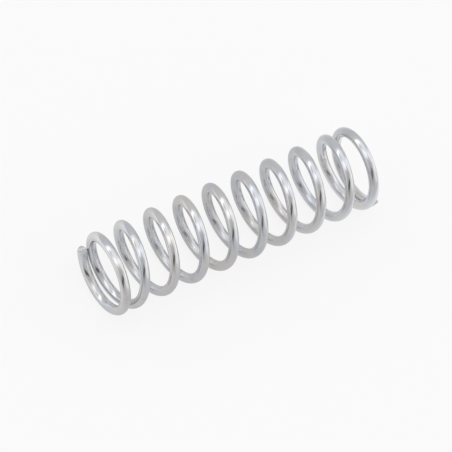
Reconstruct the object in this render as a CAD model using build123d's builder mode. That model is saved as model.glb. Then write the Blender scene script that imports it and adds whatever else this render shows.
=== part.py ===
from build123d import *
from math import cos, pi, radians, sin
import os

os.makedirs("parts", exist_ok=True)

# A governor spring: one length of round steel wire wound left-hand into an open compression coil.
# Its end turns are closed against their neighbours and left unground, with the tips cut square.
# The coil lies along X. The origin is under its middle, on the surface that it lies on.
# All lengths are millimetres.

wire_diameter = 1.5
inside_diameter = 9.8  # passes over a governor rod with room to slide
free_length = 46.1  # over the wire of both end turns, unloaded
total_turns = 10.37  # from tip to tip
closing_turns = 0.5  # at each end, wound at the closing pitch
run_out_turns = 1.0  # at each end, where the closing pitch opens to the working pitch
closed_gap = 0.03  # left between a tip and the turn that it closes against
bends_per_turn = 6  # arcs that follow the wire round one turn, within a hundredth of a millimetre

mean_radius = (inside_diameter + wire_diameter) / 2
axis_height = mean_radius + wire_diameter / 2

# The turns don't come out whole, and the part of a turn left over makes one side of the coil heavier.
# The coil rolls until that side is lowest, so the middle of the part turn is at the bottom.
# Angles are degrees round from the top, towards +Y.
first_tip_angle = 180 - 180 * (total_turns % 1)


def rise(turn, closing_pitch, working_pitch):
    """How far along the axis the wire has come, this many turns from a tip.

    The pitch eases from the closing value to the working one with no step in its slope, as the
    smooth step s * s * (3 - 2 * s) does. Summed over the run-out, that is s ** 3 - s ** 4 / 2.
    """
    s = min(max((turn - closing_turns) / run_out_turns, 0), 1)
    opened = run_out_turns * (s**3 - s**4 / 2) + max(turn - closing_turns - run_out_turns, 0)
    return closing_pitch * turn + (working_pitch - closing_pitch) * opened


# Both pitches follow from two lengths, each of them a sum of so much of one pitch and so much of
# the other: one turn from its tip the wire has risen by its own diameter and the gap, and half of
# the turns make half of the length between the tips' centres.
first_closing = rise(1, 1, 0)
first_working = rise(1, 0, 1)
half_closing = rise(total_turns / 2, 1, 0)
half_working = rise(total_turns / 2, 0, 1)
first_rise = wire_diameter + closed_gap
half_rise = (free_length - wire_diameter) / 2
share = first_closing * half_working - first_working * half_closing
closing_pitch = (first_rise * half_working - first_working * half_rise) / share
working_pitch = (first_closing * half_rise - first_rise * half_closing) / share


def wire_center(turn):
    """The wire's centre, this many turns from the tip at the -X end. Both halves wind alike."""
    if turn <= total_turns / 2:
        x = rise(turn, closing_pitch, working_pitch) - half_rise
    else:
        x = half_rise - rise(total_turns - turn, closing_pitch, working_pitch)
    angle = 2 * pi * turn + radians(first_tip_angle)
    return (x, mean_radius * sin(angle), axis_height + mean_radius * cos(angle))


# The wire leaves its first tip square to the radius there, climbing at the closing pitch.
tip_angle = radians(first_tip_angle)
tip_climb = closing_pitch / (2 * pi * mean_radius)
tip_direction = (tip_climb, cos(tip_angle), -sin(tip_angle))

# Each bend is an arc that carries straight on from the one before it to the next place on the coil.
bends = round(total_turns * bends_per_turn)
places = [wire_center(total_turns * bend / bends) for bend in range(bends + 1)]

with BuildPart() as coil_spring:
    with BuildLine() as center_line:
        bend = TangentArc(places[0], places[1], tangent=tip_direction)
        for start, end in zip(places[1:], places[2:]):
            bend = TangentArc(start, end, tangent=bend % 1)
    with BuildSketch(Plane(origin=places[0], z_dir=tip_direction)):
        Circle(wire_diameter / 2)
    sweep(path=center_line.line)

coil_spring.part.label = "coil_spring"
export_step(coil_spring.part, "parts/coil_spring.step")

wire_length = sum(edge.length for edge in center_line.line.edges())
print(f"working pitch {working_pitch:.3f}, closing pitch {closing_pitch:.3f}")
print(f"volume {coil_spring.part.volume:.2f}, wire length {wire_length:.2f}")
print(f"section times length {pi / 4 * wire_diameter**2 * wire_length:.2f}")
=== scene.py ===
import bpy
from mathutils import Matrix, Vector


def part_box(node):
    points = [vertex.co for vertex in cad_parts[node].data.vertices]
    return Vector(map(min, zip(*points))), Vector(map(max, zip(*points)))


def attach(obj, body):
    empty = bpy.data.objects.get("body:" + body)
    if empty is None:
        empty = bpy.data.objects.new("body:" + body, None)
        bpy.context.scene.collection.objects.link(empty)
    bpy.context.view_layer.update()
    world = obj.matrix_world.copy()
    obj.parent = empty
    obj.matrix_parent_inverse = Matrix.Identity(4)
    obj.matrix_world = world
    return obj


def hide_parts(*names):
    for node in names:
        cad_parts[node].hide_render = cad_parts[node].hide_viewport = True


bl_info = {
    "name": "Governor Spring",
    "version": (1, 0, 0),
    "blender": (4, 5, 0),
    "location": "3D View > Sidebar > Governor Spring",
    "description": "Winds a zinc-plated governor spring and lays it on a pale floor",
    "category": "Add Mesh",
}

import bpy
import numpy as np
from bpy.props import FloatProperty, FloatVectorProperty, IntProperty, PointerProperty
from mathutils import Matrix, Vector

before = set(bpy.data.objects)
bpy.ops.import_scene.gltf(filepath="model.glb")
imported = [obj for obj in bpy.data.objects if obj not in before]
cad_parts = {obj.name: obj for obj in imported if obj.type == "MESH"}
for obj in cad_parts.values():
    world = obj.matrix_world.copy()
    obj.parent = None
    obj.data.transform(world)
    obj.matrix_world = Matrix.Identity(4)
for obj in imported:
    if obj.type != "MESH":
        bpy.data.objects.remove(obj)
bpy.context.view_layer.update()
coil_low, coil_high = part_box("coil_spring")

# The scene is in metres, with the coil along X and the floor at height 0.
MILLIMETRE = 0.001
PHOTO_PIXELS = 452  # the picture is this wide and this high


# Properties

class CoilSizes(bpy.types.PropertyGroup):
    """The wound wire, as it lies unloaded."""

    free_length: FloatProperty(
        name="Free Length",
        description="Over the wire of both end turns",
        default=coil_high.x - coil_low.x,
        precision=5,
        unit="LENGTH",
    )
    outside_diameter: FloatProperty(
        name="Outside Diameter",
        description="Across the coil, over the wire",
        default=coil_high.y - coil_low.y,
        precision=5,
        unit="LENGTH",
    )
    wire_diameter: FloatProperty(
        name="Wire Diameter",
        description="Of the drawn and plated wire",
        default=1.5 * MILLIMETRE,
        precision=5,
        unit="LENGTH",
    )
    total_turns: FloatProperty(
        name="Total Turns",
        description="From tip to tip",
        default=10.37,
    )
    closing_turns: FloatProperty(
        name="Closing Turns",
        description="At each end, wound at the closing pitch",
        default=0.5,
    )
    run_out_turns: FloatProperty(
        name="Run-Out Turns",
        description="At each end, where the closing pitch opens to the working pitch",
        default=1.0,
    )
    closed_gap: FloatProperty(
        name="Closed Gap",
        description="Between a tip and the turn that it closes against",
        default=0.03 * MILLIMETRE,
        precision=6,
        unit="LENGTH",
    )
    first_turn_tuck: FloatProperty(
        name="First Turn Tuck",
        description="How far in from the round the first turn is wound, most of a turn from its tip",
        default=0.36 * MILLIMETRE,
        precision=6,
        unit="LENGTH",
    )
    cut_edge_radius: FloatProperty(
        name="Cut Edge Radius",
        description="Of the rim round each cut end, under its plate",
        default=0.07 * MILLIMETRE,
        precision=6,
        unit="LENGTH",
    )
    first_lip: FloatProperty(
        name="First Lip",
        description="How far the shear has drawn up one side of the first tip",
        default=0.30 * MILLIMETRE,
        precision=6,
        unit="LENGTH",
    )
    first_lip_angle: FloatProperty(
        name="First Lip Angle",
        description="Round the wire from the coil's outside, towards +X",
        default=np.radians(10),
        subtype="ANGLE",
    )
    last_lip: FloatProperty(
        name="Last Lip",
        description="How far the shear has drawn up one side of the last tip",
        default=0.20 * MILLIMETRE,
        precision=6,
        unit="LENGTH",
    )
    last_lip_angle: FloatProperty(
        name="Last Lip Angle",
        description="Round the wire from the coil's outside, towards +X",
        default=np.radians(68),
        subtype="ANGLE",
    )
    burr_height: FloatProperty(
        name="Burr Height",
        description="Of the thin burr that stands out from the last tip's lip",
        default=0.30 * MILLIMETRE,
        precision=6,
        unit="LENGTH",
    )
    steps_per_turn: IntProperty(
        name="Steps per Turn",
        description="Rings of the mesh along one turn of the wire",
        default=96,
        min=12,
    )
    steps_round_wire: IntProperty(
        name="Steps round Wire",
        description="Points in each ring",
        default=48,
        min=8,
    )


class ZincFinish(bpy.types.PropertyGroup):
    """Bright zinc plate over drawn steel wire."""

    plate_color: FloatVectorProperty(
        name="Plate",
        description="The zinc where it is clean and bright",
        default=(0.77, 0.77, 0.785),
        subtype="COLOR",
    )
    blue_color: FloatVectorProperty(
        name="Blue Cast",
        description="The faint blue that the plate turns in patches",
        default=(0.685, 0.715, 0.775),
        subtype="COLOR",
    )
    warm_color: FloatVectorProperty(
        name="Warm Cast",
        description="The faint rose colour of other patches",
        default=(0.785, 0.755, 0.735),
        subtype="COLOR",
    )
    dull_color: FloatVectorProperty(
        name="Dull Patches",
        description="Where the plate has gone matt with handling",
        default=(0.65, 0.65, 0.655),
        subtype="COLOR",
    )
    cut_color: FloatVectorProperty(
        name="Cut Ends",
        description="Sheared steel with zinc smeared over it",
        default=(0.70, 0.695, 0.685),
        subtype="COLOR",
    )
    patch_size: FloatProperty(
        name="Patch Size",
        description="Across one patch of the plate",
        default=2.4 * MILLIMETRE,
        precision=5,
        unit="LENGTH",
    )
    line_spacing: FloatProperty(
        name="Line Spacing",
        description="Between the fine lines that the drawing die leaves along the wire",
        default=0.08 * MILLIMETRE,
        precision=6,
        unit="LENGTH",
    )
    line_length: FloatProperty(
        name="Line Length",
        description="How far one such line runs along the wire",
        default=7 * MILLIMETRE,
        precision=5,
        unit="LENGTH",
    )
    line_depth: FloatProperty(
        name="Line Depth",
        description="Of the deepest lines",
        default=0.0028 * MILLIMETRE,
        precision=7,
        unit="LENGTH",
    )
    wave_size: FloatProperty(
        name="Wave Size",
        description="Across one of the shallow waves that winding leaves in the wire",
        default=1.1 * MILLIMETRE,
        precision=5,
        unit="LENGTH",
    )
    wave_depth: FloatProperty(
        name="Wave Depth",
        description="Of those waves",
        default=0.014 * MILLIMETRE,
        precision=6,
        unit="LENGTH",
    )
    grain_size: FloatProperty(
        name="Grain Size",
        description="Across one grain of the plate",
        default=0.10 * MILLIMETRE,
        precision=6,
        unit="LENGTH",
    )
    grain_depth: FloatProperty(
        name="Grain Depth",
        description="Of the plate's grain",
        default=0.0016 * MILLIMETRE,
        precision=7,
        unit="LENGTH",
    )
    track_width: FloatProperty(
        name="Track Width",
        description="Of the band, along the coil's outside, that the winding point has rubbed",
        default=0.7 * MILLIMETRE,
        precision=5,
        unit="LENGTH",
    )
    shear_spacing: FloatProperty(
        name="Shear Spacing",
        description="Between the marks that the shear leaves across the cut ends",
        default=0.06 * MILLIMETRE,
        precision=6,
        unit="LENGTH",
    )
    shear_depth: FloatProperty(
        name="Shear Depth",
        description="Of those marks",
        default=0.006 * MILLIMETRE,
        precision=6,
        unit="LENGTH",
    )


class StageSettings(bpy.types.PropertyGroup):
    """The floor, the light round it and the camera."""

    floor_width: FloatProperty(
        name="Floor Width",
        description="Of the square floor",
        default=4,
        unit="LENGTH",
    )
    floor_color: FloatVectorProperty(
        name="Floor",
        description="The pale floor",
        default=(0.92, 0.92, 0.92),
        subtype="COLOR",
    )
    mirrored_color: FloatVectorProperty(
        name="Mirrored Floor",
        description="The pale backdrop as the metal shows it",
        default=(0.595, 0.595, 0.595),
        subtype="COLOR",
    )
    # Painted light: in two pools past the coil's ends, the floor that the metal mirrors is painted this
    # bright, as light from the boxes there.
    painted_light_pool_color: FloatVectorProperty(
        name="Bright Floor",
        description="The backdrop as the metal shows it, in front of the boxes at the coil's two ends",
        default=(1.0, 1.0, 1.0),
        subtype="COLOR",
    )
    white_seen: FloatProperty(
        name="White Seen",
        description="How much of the floor the camera sees as plain white, and not as lit and shadowed",
        default=0.82,
        subtype="FACTOR",
    )
    white_mirrored: FloatProperty(
        name="White Mirrored",
        description="How much of the floor that the metal mirrors is the pale backdrop",
        default=0.85,
        subtype="FACTOR",
    )
    # Painted light: the middles of those two painted pools of light on the mirrored floor, and below them
    # how far the pools reach.
    right_light_pool: FloatVectorProperty(
        name="Right Spot",
        description="Middle of the brighter floor past the last tip",
        default=(0.052, -0.010, 0),
        subtype="TRANSLATION",
        unit="LENGTH",
    )
    left_light_pool: FloatVectorProperty(
        name="Left Spot",
        description="Middle of the brighter floor past the first tip",
        default=(-0.052, 0.026, 0),
        subtype="TRANSLATION",
        unit="LENGTH",
    )
    light_pool_radius: FloatProperty(
        name="Spot Radius",
        description="Where the brighter floor has faded out",
        default=52 * MILLIMETRE,
        precision=4,
        unit="LENGTH",
    )
    tent_strength: FloatProperty(
        name="Tent",
        description="Brightness of the plain light tent",
        default=0.655,
    )
    camera_distance: FloatProperty(
        name="Camera Distance",
        description="From the middle of the coil",
        default=0.6046,
        unit="LENGTH",
    )
    camera_azimuth: FloatProperty(
        name="Camera Azimuth",
        description="Round from the front, towards the +X end",
        default=np.radians(-58.70),
        subtype="ANGLE",
    )
    camera_elevation: FloatProperty(
        name="Camera Elevation",
        description="Above the floor",
        default=np.radians(62.70),
        subtype="ANGLE",
    )
    camera_roll: FloatProperty(
        name="Camera Roll",
        description="Of the camera about its own line of sight, anticlockwise",
        default=np.radians(32.61),
        subtype="ANGLE",
    )
    pixels_per_millimetre: FloatProperty(
        name="Pixels per Millimetre",
        description="How large the coil's middle shows in the picture",
        default=6.8055,
    )
    middle_across: FloatProperty(
        name="Middle Across",
        description="Pixels from the picture's left edge to the coil's middle",
        default=232.52,
    )
    middle_down: FloatProperty(
        name="Middle Down",
        description="Pixels from the picture's top edge to the coil's middle",
        default=219.82,
    )


# The wire's shape

def opened_turns(sizes, turn):
    """How many turns' worth of the working pitch has opened, this many turns from a tip.

    Over the run-out the pitch eases as the smooth step 3 s^2 - 2 s^3 does, which sums to s^3 - s^4 / 2.
    After it every turn counts in full.
    """
    step = np.clip((turn - sizes.closing_turns) / sizes.run_out_turns, 0, 1)
    after = np.maximum(turn - sizes.closing_turns - sizes.run_out_turns, 0)
    return sizes.run_out_turns * (step**3 - step**4 / 2) + after


def pitches(sizes):
    """The closing and the working pitch, from two lengths that both are so much of each.

    One turn from its tip the wire has risen by its own diameter and the gap, and half of the turns
    make half of the length between the tips' centres.
    """
    turn = np.array([1, sizes.total_turns / 2])
    opened = opened_turns(sizes, turn)
    first_rise = sizes.wire_diameter + sizes.closed_gap
    half_rise = (sizes.free_length - sizes.wire_diameter) / 2
    return np.linalg.solve(np.stack([turn - opened, opened], axis=1), [first_rise, half_rise])


def centre_line(sizes, turn):
    """The wire's centre, and the way out from the coil's axis there.

    The centre goes round a circle of the mean radius once a turn, and along X by the rise from the
    nearer tip. Its angle runs from the top towards +Y, and the middle of the part turn that is left
    over lies lowest, because that side of the coil is the heavier. On the first turn the circle is
    drawn in by the tuck times the squared cosine of the way from the tuck's middle to its ends.
    """
    closing_pitch, working_pitch = pitches(sizes)
    from_tip = np.minimum(turn, sizes.total_turns - turn)
    opened = opened_turns(sizes, from_tip)
    climbed = closing_pitch * (from_tip - opened) + working_pitch * opened
    half_rise = (sizes.free_length - sizes.wire_diameter) / 2
    x = np.where(turn < sizes.total_turns / 2, climbed - half_rise, half_rise - climbed)
    angle = 2 * np.pi * turn + np.pi * (1 - sizes.total_turns % 1)
    out = np.stack([np.zeros_like(turn), np.sin(angle), np.cos(angle)], axis=1)
    mean_radius = (sizes.outside_diameter - sizes.wire_diameter) / 2
    tuck_middle, tuck_reach = 0.72, 0.27  # turns from the first tip, and turns to each side of that
    from_tuck = np.clip((turn - tuck_middle) / tuck_reach, -1, 1)
    radius = mean_radius - sizes.first_turn_tuck * np.cos(from_tuck * np.pi / 2) ** 2
    middle = np.stack([x, np.zeros_like(x), np.full_like(x, sizes.outside_diameter / 2)], axis=1)
    return middle + radius[:, None] * out, out


def cut_end(sizes, rim_steps=5, face_steps=9):
    """Rings from the wire's full round to near the middle of a cut end: share of the radius, and depth.

    The rim is a quarter circle: its share falls from 1 by the edge's part of the radius times one
    minus the cosine, and its depth behind the cut is the edge times one minus the sine. On the face
    the share goes on down evenly at depth 0.
    """
    edge = sizes.cut_edge_radius / (sizes.wire_diameter / 2)
    bend = np.linspace(0, np.pi / 2, rim_steps)
    face = np.linspace(1 - edge, 0, face_steps + 1)[1:-1]
    share = np.concatenate([1 - edge * (1 - np.cos(bend)), face])
    depth = np.concatenate([sizes.cut_edge_radius * (1 - np.sin(bend)), np.zeros_like(face)])
    return share, depth


def drawn_up(share, around, lip_angle, past_middle=0.2):
    """How much of the lip's height each point of a cut end has: the cube of its way towards the lip.

    The way runs from 0, this share of the face's radius past the middle, to 1 at the face's edge on
    the lip's side.
    """
    way = (share[:, None] * np.cos(around - lip_angle) + past_middle) / (1 + past_middle)
    return np.clip(way, 0, 1) ** 3


def wire_surface(sizes):
    """Points on the wire's skin, each ring's share of the radius and place along, and the angles round.

    A ring is the wire's circle set across the centre line: the centre, plus the radius times the
    cosine of the angle round the wire along the way out, plus its sine along the way sideways. At
    a cut end the rings shrink, and the lip carries them forward, away from the wire. The burr adds
    its height to the radius, times a power of the last lip that leaves it only where the lip is high.
    """
    burr_sharpness = 5
    wire_radius = sizes.wire_diameter / 2
    mean_radius = sizes.outside_diameter / 2 - wire_radius
    end_share, end_depth = cut_end(sizes)
    end_turn = end_depth / (2 * np.pi * mean_radius)
    rings = round(sizes.total_turns * sizes.steps_per_turn)
    body = np.linspace(end_turn[0], sizes.total_turns - end_turn[0], rings + 1)[1:-1]
    turn = np.concatenate([end_turn[::-1], body, sizes.total_turns - end_turn])
    share = np.concatenate([end_share[::-1], np.ones_like(body), end_share])

    centre, out = centre_line(sizes, turn)
    step = 1 / sizes.steps_per_turn
    ahead, _ = centre_line(sizes, np.minimum(turn + step, sizes.total_turns))
    behind, _ = centre_line(sizes, np.maximum(turn - step, 0))
    forward = ahead - behind
    forward /= np.linalg.norm(forward, axis=1)[:, None]
    side = np.cross(forward, out)
    side /= np.linalg.norm(side, axis=1)[:, None]
    out = np.cross(side, forward)

    around = np.arange(sizes.steps_round_wire) * 2 * np.pi / sizes.steps_round_wire
    at_first = np.where(turn <= 0, 1.0, 0.0)[:, None]
    at_last = np.where(turn >= sizes.total_turns, 1.0, 0.0)[:, None]
    face_share = share / (1 - sizes.cut_edge_radius / wire_radius)
    first_lip = at_first * drawn_up(face_share, around, sizes.first_lip_angle)
    last_lip = at_last * drawn_up(face_share, around, sizes.last_lip_angle)
    lift = sizes.last_lip * last_lip - sizes.first_lip * first_lip
    reach = wire_radius * share[:, None] + sizes.burr_height * last_lip**burr_sharpness
    across = np.cos(around)[None, :, None] * out[:, None] + np.sin(around)[None, :, None] * side[:, None]
    points = centre[:, None] + reach[:, :, None] * across + lift[:, :, None] * forward[:, None]
    along = np.concatenate([[0], np.cumsum(np.linalg.norm(np.diff(centre, axis=0), axis=1))])
    return points, share, along, around


def cut_places(sizes, share, around):
    """For each point 1 on a cut end and 0 elsewhere, then its place across the shear and along it.

    The shear runs towards the lip, so across it is the radius times the sine of the angle from the
    lip, and along it the radius times the cosine.
    """
    first_half = np.arange(len(share)) < len(share) / 2
    from_lip = around - np.where(first_half, sizes.first_lip_angle, sizes.last_lip_angle)[:, None]
    reach = sizes.wire_diameter / 2 * share[:, None]
    on_cut = np.broadcast_to(np.where(share < 1, 1.0, 0.0)[:, None], from_lip.shape)
    places = np.stack([on_cut, reach * np.sin(from_lip), reach * np.cos(from_lip)], axis=-1)
    return np.concatenate([places.reshape(-1, 3), [[1, 0, 0], [1, 0, 0]]])


def tube_faces(rings, round_wire):
    """Quads between neighbouring rings, and a fan of triangles on a middle point at each end."""
    ring, step = np.meshgrid(np.arange(rings - 1), np.arange(round_wire), indexing="ij")
    after = (step + 1) % round_wire
    quads = np.stack(
        [ring * round_wire + step, ring * round_wire + after,
         (ring + 1) * round_wire + after, (ring + 1) * round_wire + step],
        axis=-1,
    ).reshape(-1, 4)
    step = np.arange(round_wire)
    after = (step + 1) % round_wire
    first, last = rings * round_wire, rings * round_wire + 1
    start = np.stack([after, step, np.full_like(step, first)], axis=1)
    end_ring = (rings - 1) * round_wire
    end = np.stack([end_ring + step, end_ring + after, np.full_like(step, last)], axis=1)
    return quads.tolist() + start.tolist() + end.tolist()


def unrolled(rings, round_wire, turns, margin=0.04):
    """The wire laid out flat in a square, one turn to a row, for every corner of tube_faces in order.

    Across the square goes the place along the wire within its turn, and up it goes the row plus the
    angle round the wire, as a share of a whole turn, with a margin between the rows.
    """
    rows = int(np.ceil(turns))
    per_row = np.ceil((rings + 1) / rows)

    def place(strip, ahead, step):
        across = (strip % per_row + ahead) / per_row
        up = (strip // per_row + margin + (1 - 2 * margin) * step / round_wire) / rows
        return np.stack([across, up], axis=-1)

    strip, step = np.meshgrid(np.arange(1, rings), np.arange(round_wire), indexing="ij")
    quads = np.stack(
        [place(strip, 0, step), place(strip, 0, step + 1), place(strip, 1, step + 1), place(strip, 1, step)],
        axis=-2,
    )
    step = np.arange(round_wire)
    none, full = np.zeros_like(step), np.full_like(step, rings)
    start = np.stack([place(none, 1, step + 1), place(none, 1, step), place(none, 0, step + 0.5)], axis=-2)
    end = np.stack([place(full, 0, step), place(full, 0, step + 1), place(full, 1, step + 0.5)], axis=-2)
    return np.concatenate([part.reshape(-1, 2) for part in (quads, start, end)])


def wire_mesh(sizes):
    """The whole wire as one closed mesh, with what its finish reads and its unrolled map.

    The attribute on_wire holds each point's place along the wire, then out and sideways from the
    wire's middle. The attribute cut holds what cut_places gives.
    """
    points, share, along, around = wire_surface(sizes)
    rings, round_wire = points.shape[:2]
    middles = points[[0, -1]].mean(axis=1)
    mesh = bpy.data.meshes.new("spring_wire")
    mesh.from_pydata(
        np.concatenate([points.reshape(-1, 3), middles]).tolist(), [], tube_faces(rings, round_wire)
    )
    reach = sizes.wire_diameter / 2 * share[:, None]
    on_wire = np.stack(
        [np.broadcast_to(along[:, None], (rings, round_wire)),
         reach * np.cos(around), reach * np.sin(around)],
        axis=-1,
    ).reshape(-1, 3)
    on_wire = np.concatenate([on_wire, [[along[0], 0, 0], [along[-1], 0, 0]]])
    for name, values in (("on_wire", on_wire), ("cut", cut_places(sizes, share, around))):
        layer = mesh.attributes.new(name, "FLOAT_VECTOR", "POINT")
        layer.data.foreach_set("vector", values.astype(np.float32).ravel())
    flat = unrolled(rings, round_wire, sizes.total_turns)
    mesh.uv_layers.new(name="OFBake").uv.foreach_set("vector", flat.astype(np.float32).ravel())
    mesh.shade_smooth()
    return mesh


# The light

def aim(azimuth, elevation):
    """The direction with this azimuth, from -Y towards +X, and this elevation above the floor."""
    return Vector((
        np.sin(azimuth) * np.cos(elevation),
        -np.cos(azimuth) * np.cos(elevation),
        np.sin(elevation),
    ))


# What stands round the coil inside the tent. Each row is one flat panel, a soft box or a dark card: its
# azimuth and elevation, its turn about its own middle, half its width and half its height, all in degrees
# as seen from the coil, how soft its edge is, in the same measure, and how much it adds to the tent.
LIGHT_PANELS = (
    (85, 15, 0, 19, 60, 5, 0.35),  # tall box to the right
    (92, 0, 0, 11, 20, 9, 0.36),  # its brightest part
    (46, 24, -50, 34, 18, 6, 0.31),  # box in front and to the right
    (-146, 28, -44, 28, 6, 5, 0.64),  # long strip behind and to the left
    (-130, 4, 0, 6, 20, 5, 0.37),  # its lower end
    (-108, 54, 0, 10, 28, 6, 0.56),  # upright box to the left
    (-100, 6, 0, 26, 20, 10, 0.26),  # low box beside it
    (170, 62, 0, 36, 26, 6, 0.33),  # large box overhead and behind
    (-40, 38, 52, 27, 8, 4, -0.43),  # dark card in front
    (-44, 40, 50, 46, 24, 12, -0.13),  # what shades the tent round it
    (-48, 6, 0, 42, 16, 12, -0.09),  # and the low front of the tent
)


# Shader maths

class Value:
    """A number that a shader works out. An operator on it adds the Math node that does the sum."""

    def __init__(self, shader, socket):
        self.shader = shader
        self.socket = socket

    def maths(self, operation, *operands):
        return self.shader.add(
            "ShaderNodeMath", {"operation": operation}, dict(enumerate(operands))
        )

    def __add__(self, other):
        return self.maths("ADD", self, other)

    def __radd__(self, other):
        return self.maths("ADD", other, self)

    def __sub__(self, other):
        return self.maths("SUBTRACT", self, other)

    def __rsub__(self, other):
        return self.maths("SUBTRACT", other, self)

    def __mul__(self, other):
        return self.maths("MULTIPLY", self, other)

    def __rmul__(self, other):
        return self.maths("MULTIPLY", other, self)

    def __truediv__(self, other):
        return self.maths("DIVIDE", self, other)

    def __rtruediv__(self, other):
        return self.maths("DIVIDE", other, self)

    def magnitude(self):
        return self.maths("ABSOLUTE", self)

    def at_least(self, low):
        return self.maths("MAXIMUM", self, low)

    def clamped(self, low=0, high=1):
        return self.maths("MINIMUM", self.at_least(low), high)


class Shader:
    """The node tree of one material or of the world."""

    def __init__(self, tree):
        self.tree = tree
        tree.nodes.clear()

    def add(self, kind, settings=None, inputs=None, output=0):
        """A node of this kind: its settings are set first, then each socket gets its value or link.

        What comes back is its output of this name or number, if it has one.
        """
        node = self.tree.nodes.new(kind)
        for name, value in (settings or {}).items():
            setattr(node, name, value)
        for name, value in (inputs or {}).items():
            if isinstance(value, Value):
                self.tree.links.new(value.socket, node.inputs[name])
            else:
                node.inputs[name].default_value = value
        return Value(self, node.outputs[output]) if node.outputs else None

    def mix_color(self, share, first, second):
        """The first colour where the share is 0, the second where it is 1. They go in sockets 6 and 7."""
        return self.add(
            "ShaderNodeMix", {"data_type": "RGBA"},
            {"Factor": share, 6: opaque(first), 7: opaque(second)}, output=2,
        )

    def noise(self, place, rates, detail=2.0, roughness=0.5):
        """Noise from 0 to 1. The rates are how many bumps come to a metre along X, Y and Z."""
        scaled = self.add("ShaderNodeVectorMath", {"operation": "MULTIPLY"}, {0: place, 1: rates})
        return self.add(
            "ShaderNodeTexNoise", {"noise_dimensions": "3D"},
            {"Vector": scaled, "Scale": 1.0, "Detail": detail, "Roughness": roughness},
        )

    def dot(self, vector, other):
        return self.add(
            "ShaderNodeVectorMath", {"operation": "DOT_PRODUCT"}, {0: vector, 1: other}, output="Value"
        )

    def panel(self, direction, azimuth, elevation, turn, half_width, half_height, edge):
        """1 where the direction meets a flat panel that faces the coil, 0 past its edges.

        The direction is carried out to the panel's plane, one unit away, and compared there with the
        tangents of the half angles. A smooth step of the edge's size closes each side, and another
        closes the panel towards the directions that run past its plane.
        """
        past_plane, toward_plane = 0.05, 0.15
        widest = 85  # a half angle past this has too large a tangent
        toward = aim(np.radians(azimuth), np.radians(elevation))
        level = Vector((0, 0, 1)).cross(toward).normalized()
        upright = toward.cross(level)
        across = level * np.cos(np.radians(turn)) + upright * np.sin(np.radians(turn))
        ahead = self.dot(direction, toward)
        share = self.step(ahead, past_plane, toward_plane)
        for side, half in ((across, half_width), (toward.cross(across), half_height)):
            place = (self.dot(direction, side) / ahead.at_least(past_plane)).magnitude()
            near, far = np.tan(np.radians(np.clip([half - edge, half + edge], 0, widest)))
            share = share * (1 - self.step(place, near, far))
        return share

    def step(self, value, low, high):
        """0 below low, 1 above high, and a smooth step between."""
        return self.add(
            "ShaderNodeMapRange", {"interpolation_type": "SMOOTHSTEP"},
            {"Value": value, "From Min": low, "From Max": high},
        )


def opaque(color):
    """A colour as a socket takes it, with its alpha."""
    return color if isinstance(color, Value) else (*color, 1.0)


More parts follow.
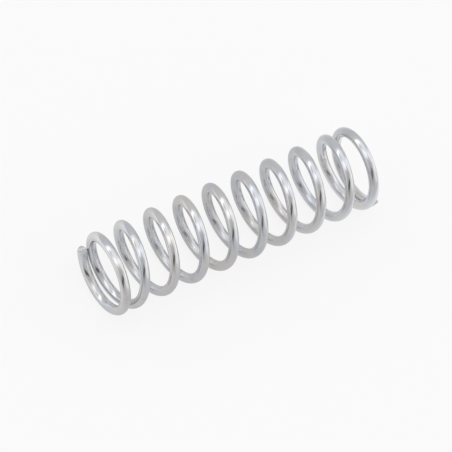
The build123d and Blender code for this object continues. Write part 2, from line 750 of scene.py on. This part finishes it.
def zinc_wire_material(finish, wire_radius):
    """Bright zinc on drawn wire, with its drawing lines, casts, dull patches, rubbed track and cut ends."""
    material = bpy.data.materials.new("zinc_wire")
    material.use_nodes = True
    shader = Shader(material.node_tree)

    on_wire = shader.add("ShaderNodeAttribute", {"attribute_name": "on_wire"}, output="Vector")
    cut = shader.add("ShaderNodeAttribute", {"attribute_name": "cut"}, output="Vector")
    place = shader.add("ShaderNodeTexCoord", output="Object")

    # The lines and scuffs run along the wire. The blue patches are twice as large as the dull ones, and
    # the warm ones are a quarter larger.
    across = 1 / finish.line_spacing
    lines = shader.noise(on_wire, (1 / finish.line_length, across, across), detail=3.0)
    scuffs = shader.noise(on_wire, (1 / finish.patch_size, across, across), detail=4.0, roughness=0.6)
    waves = shader.noise(place, (1 / finish.wave_size,) * 3, detail=1.0)
    patches = shader.noise(place, (1 / finish.patch_size,) * 3, detail=4.0, roughness=0.6)
    blue = shader.noise(place, (0.5 / finish.patch_size,) * 3, detail=3.0)
    warm = shader.noise(place, (0.8 / finish.patch_size,) * 3, detail=3.0)
    grain = shader.noise(place, (1 / finish.grain_size,) * 3, detail=2.0)

    # The track is where the wire faces away from the coil's axis, as far round as its width reaches.
    # Its edge is ragged.
    outward = shader.add("ShaderNodeSeparateXYZ", None, {"Vector": on_wire}, output="Y")
    ragged = 0.1 * wire_radius
    track_edge = np.sqrt(wire_radius**2 - finish.track_width**2 / 4)
    track = shader.step(outward + (scuffs - 0.5) * ragged, track_edge, (track_edge + wire_radius) / 2)

    # The marks run along the shear, and are about seven times as long as they are wide.
    on_cut = shader.add("ShaderNodeSeparateXYZ", None, {"Vector": cut}, output="X")
    marks = shader.noise(cut, (0, 1 / finish.shear_spacing, 0.15 / finish.shear_spacing), detail=3.0)

    dull = shader.step(patches, low=0.50, high=0.68)
    scuffed = shader.step(scuffs, low=0.56, high=0.72)
    blue_share = shader.step(blue, low=0.40, high=0.62) * 0.85
    warm_share = shader.step(warm, low=0.46, high=0.62) * 0.8
    worn_share = dull * 0.3 + scuffed * 0.3 + shader.step(grain, low=0.55, high=0.75) * 0.2
    cut_share = on_cut * (0.6 + marks * 0.4)
    color = shader.mix_color(blue_share, finish.plate_color, finish.blue_color)
    color = shader.mix_color(warm_share, color, finish.warm_color)
    color = shader.mix_color(worn_share.clamped(), color, finish.dull_color)
    color = shader.mix_color(cut_share, color, finish.cut_color)

    plate_roughness, dull_roughness, scuffed_roughness = 0.11, 0.10, 0.12
    track_roughness, track_scuffed_roughness = 0.02, 0.10
    cut_roughness, marks_roughness = 0.16, 0.14
    roughness = plate_roughness + dull * dull_roughness + scuffed * scuffed_roughness
    roughness = roughness + track * (track_roughness + scuffed * track_scuffed_roughness)
    roughness = roughness + on_cut * (cut_roughness + marks * marks_roughness)

    # Scuffs have worn the lines' edges down, and most of all along the track.
    off_track = 0.4
    height = waves * finish.wave_depth + lines * finish.line_depth + grain * finish.grain_depth
    height = height - scuffed * (off_track + track * (1 - off_track)) * finish.line_depth
    height = height + on_cut * marks * finish.shear_depth
    bump = shader.add("ShaderNodeBump", None, {"Strength": 1.0, "Distance": 1.0, "Height": height})
    surface = shader.add(
        "ShaderNodeBsdfPrincipled", None,
        {"Base Color": color, "Metallic": 1.0, "Roughness": roughness, "Normal": bump},
    )
    shader.add("ShaderNodeOutputMaterial", None, {"Surface": surface})
    return material


# Operators

class GOVERNOR_OT_wind_spring(bpy.types.Operator):
    """Wind the plated wire into the coil"""

    bl_idname = "governor.wind_spring"
    bl_label = "Wind Spring"
    bl_options = {"REGISTER", "UNDO"}

    def execute(self, context):
        sizes = context.scene.coil_sizes
        mesh = wire_mesh(sizes)
        mesh.materials.append(zinc_wire_material(context.scene.zinc_finish, sizes.wire_diameter / 2))
        wire = bpy.data.objects.new("spring_wire", mesh)
        context.scene.collection.objects.link(wire)
        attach(wire, "root")
        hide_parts("coil_spring")
        return {"FINISHED"}


class GOVERNOR_OT_set_stage(bpy.types.Operator):
    """Lay the floor, put up the light and aim the camera"""

    bl_idname = "governor.set_stage"
    bl_label = "Set Stage"
    bl_options = {"REGISTER", "UNDO"}

    def execute(self, context):
        stage = context.scene.stage_settings
        self.lay_floor(context, stage)
        self.light(context, stage)
        self.aim_camera(context, stage, context.scene.coil_sizes)
        context.scene.view_settings.view_transform = "Standard"
        return {"FINISHED"}

    def lay_floor(self, context, stage):
        """A square plane at height 0. Its corners are half the width to each side."""
        half = stage.floor_width / 2
        mesh = bpy.data.meshes.new("floor")
        corners = [(-half, -half, 0), (half, -half, 0), (half, half, 0), (-half, half, 0)]
        mesh.from_pydata(corners, [], [(0, 1, 2, 3)])
        floor = bpy.data.objects.new("floor", mesh)
        context.scene.collection.objects.link(floor)
        material = bpy.data.materials.new("pale_floor")
        material.use_nodes = True
        shader = Shader(material.node_tree)
        camera = shader.add("ShaderNodeLightPath", output="Is Camera Ray")
        glossy = shader.add("ShaderNodeLightPath", output="Is Glossy Ray")
        passed = shader.add("ShaderNodeLightPath", output="Is Transmission Ray")
        place = shader.add("ShaderNodeTexCoord", output="Object")
        # Painted light: the floor that the metal mirrors is painted brighter in two pools past the coil's
        # ends, which fade out by their radius. Only the metal's reflections show them, not the camera.
        off_light_pools = 1
        for spot in (stage.right_light_pool, stage.left_light_pool):
            away = shader.add(
                "ShaderNodeVectorMath", {"operation": "DISTANCE"}, {0: place, 1: spot}, output="Value"
            )
            off_light_pools = off_light_pools * shader.step(away, stage.light_pool_radius / 3, stage.light_pool_radius)
        mirrored = shader.mix_color(off_light_pools, stage.painted_light_pool_color, stage.mirrored_color)
        color = shader.mix_color(camera, mirrored, (1, 1, 1))
        backdrop = shader.add("ShaderNodeEmission", None, {"Color": color, "Strength": 1.0})
        lit = shader.add("ShaderNodeBsdfDiffuse", None, {"Color": opaque(stage.floor_color)})
        share = (camera * stage.white_seen + (glossy + passed) * stage.white_mirrored).clamped()
        surface = shader.add("ShaderNodeMixShader", None, {0: share, 1: lit, 2: backdrop})
        shader.add("ShaderNodeOutputMaterial", None, {"Surface": surface})
        mesh.materials.append(material)

    def light(self, context, stage):
        """A plain light tent with soft bright and dark sides. The camera sees it white."""
        world = bpy.data.worlds.new("light_tent")
        context.scene.world = world
        world.use_nodes = True
        shader = Shader(world.node_tree)
        direction = shader.add("ShaderNodeTexCoord", output="Generated")
        strength = stage.tent_strength
        for azimuth, elevation, turn, half_width, half_height, edge, brightness in LIGHT_PANELS:
            panel = shader.panel(direction, azimuth, elevation, turn, half_width, half_height, edge)
            strength = strength + panel * brightness
        camera = shader.add("ShaderNodeLightPath", output="Is Camera Ray")
        brightest = 4
        strength = camera + (1 - camera) * strength.clamped(0, brightest)
        background = shader.add("ShaderNodeBackground", None, {"Color": (1, 1, 1, 1), "Strength": strength})
        shader.add("ShaderNodeOutputWorld", None, {"Surface": background})

    def aim_camera(self, context, stage, sizes):
        """The photograph's view of the coil's middle, with the middle where the photograph has it."""
        data = bpy.data.cameras.new("camera")
        camera = bpy.data.objects.new("camera", data)
        context.scene.collection.objects.link(camera)
        back = aim(stage.camera_azimuth, stage.camera_elevation)
        level = Vector((0, 0, 1)).cross(back).normalized()
        upright = back.cross(level)
        right = level * np.cos(stage.camera_roll) + upright * np.sin(stage.camera_roll)
        up = back.cross(right)
        metres_per_pixel = MILLIMETRE / stage.pixels_per_millimetre
        across = (PHOTO_PIXELS / 2 - stage.middle_across) * metres_per_pixel
        down = (PHOTO_PIXELS / 2 - stage.middle_down) * metres_per_pixel
        middle = Vector((0, 0, sizes.outside_diameter / 2))
        place = middle + back * stage.camera_distance + right * across - up * down
        camera.matrix_world = Matrix.Translation(place) @ Matrix((right, up, back)).transposed().to_4x4()
        data.lens = data.sensor_width * stage.camera_distance / (PHOTO_PIXELS * metres_per_pixel)
        context.scene.camera = camera


class GOVERNOR_PT_panel(bpy.types.Panel):
    """The spring's sizes, finish and stage, and its tools in the order that they are used"""

    bl_idname = "GOVERNOR_PT_panel"
    bl_label = "Governor Spring"
    bl_space_type = "VIEW_3D"
    bl_region_type = "UI"
    bl_category = "Governor Spring"

    def draw(self, context):
        for name, settings in SETTINGS.items():
            box = self.layout.box()
            for setting in settings.__annotations__:
                box.prop(getattr(context.scene, name), setting)
        for operator in OPERATORS:
            self.layout.operator(operator.bl_idname)


SETTINGS = {"coil_sizes": CoilSizes, "zinc_finish": ZincFinish, "stage_settings": StageSettings}
OPERATORS = (GOVERNOR_OT_wind_spring, GOVERNOR_OT_set_stage)


def register():
    for name, settings in SETTINGS.items():
        bpy.utils.register_class(settings)
        setattr(bpy.types.Scene, name, PointerProperty(type=settings))
    for shown in (*OPERATORS, GOVERNOR_PT_panel):
        bpy.utils.register_class(shown)


def unregister():
    for shown in (GOVERNOR_PT_panel, *reversed(OPERATORS)):
        bpy.utils.unregister_class(shown)
    for name, settings in reversed(SETTINGS.items()):
        delattr(bpy.types.Scene, name)
        bpy.utils.unregister_class(settings)


def main():
    register()
    bpy.ops.governor.wind_spring()
    bpy.ops.governor.set_stage()


if __name__ == "__main__":
    main()
